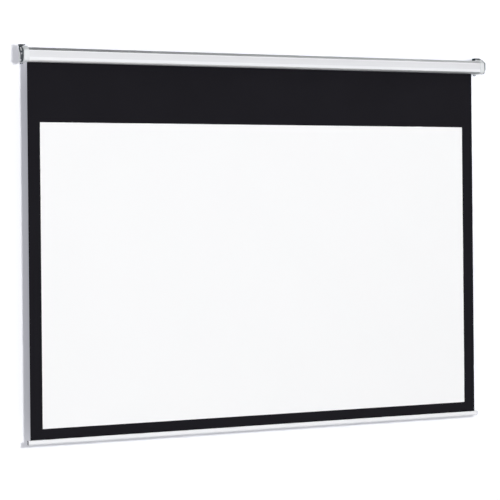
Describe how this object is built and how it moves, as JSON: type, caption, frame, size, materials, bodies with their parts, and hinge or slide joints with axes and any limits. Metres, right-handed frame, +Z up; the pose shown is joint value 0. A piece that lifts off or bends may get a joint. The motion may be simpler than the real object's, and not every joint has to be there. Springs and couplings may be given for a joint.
{
  "type": "projection screen",
  "caption": "Electric roll-up projection screen: slim white casing on end brackets, black-bordered white viewing area and a slim bottom rail, hanging fully lowered.",
  "frame": {"origin": "on the wall plane behind the brackets, at mid-length of the casing, level with the roller's axis", "axes": "+X to the viewer's right along the casing, +Y into the wall, +Z up; the screen faces -Y"},
  "size_m": [2.072, 0.0724, 1.5462],
  "materials": {
    "white_coat": "satin white powder coat",
    "cap_plastic": "satin",
    "slate_steel": "satin slate grey",
    "zinc_steel": "zinc plated",
    "raw_aluminium": "mill finish",
    "black_fabric": "matt black coated weave",
    "white_fabric": "matt white coated weave",
    "grey_plastic": "satin",
    "dark_plastic": "matt",
    "brass": "turned"
  },
  "bodies": {
    "housing": {"casing": "white_coat", "motor_head": "dark_plastic", "motor_body": "zinc_steel", "motor_screw_1": "zinc_steel", "motor_screw_2": "zinc_steel", "limit_screw_up": "brass", "limit_screw_down": "brass", "cable_inlet": "dark_plastic", "idle_bush": "brass", "left_end_cap": "cap_plastic", "left_support_plate": "zinc_steel", "left_bracket": "slate_steel", "left_cap_screw_front_top": "zinc_steel", "left_cap_screw_front_bottom": "zinc_steel", "left_cap_screw_back_top": "zinc_steel", "left_bracket_screw_upper": "zinc_steel", "left_bracket_screw_lower": "zinc_steel", "right_end_cap": "cap_plastic", "right_support_plate": "zinc_steel", "right_bracket": "slate_steel", "right_cap_screw_front_top": "zinc_steel", "right_cap_screw_front_bottom": "zinc_steel", "right_cap_screw_back_top": "zinc_steel", "right_bracket_screw_upper": "zinc_steel", "right_bracket_screw_lower": "zinc_steel"},
    "roller": {"roller_tube": "raw_aluminium", "fabric_roll": "black_fabric", "idle_plug": "dark_plastic", "idle_pin": "zinc_steel", "drive_shaft": "zinc_steel", "drive_wheel": "dark_plastic", "motor_crown": "dark_plastic"},
    "curtain": {"bottom_rail": "white_coat", "hem_rod": "zinc_steel", "left_rail_plug": "grey_plastic", "right_rail_plug": "grey_plastic", "fabric_backing": "black_fabric", "viewing_surface": "white_fabric"}
  },
  "joints": [
    {"name": "curtain_slide", "type": "slide", "parent": "housing", "child": "curtain", "axis": [0, 0, 1], "range_m": [0, 1.455], "deforming": ["fabric_backing", "viewing_surface"]},
    {"name": "roller_turn", "type": "hinge", "parent": "housing", "child": "roller", "pos_m": [0, -0.02944, 0], "axis": [1, 0, 0], "range_deg": [0, 3704]}
  ],
  "couplings": [
    {"joint": "roller_turn", "follows": "curtain_slide", "rad_per_m": 44.4}
  ]
}
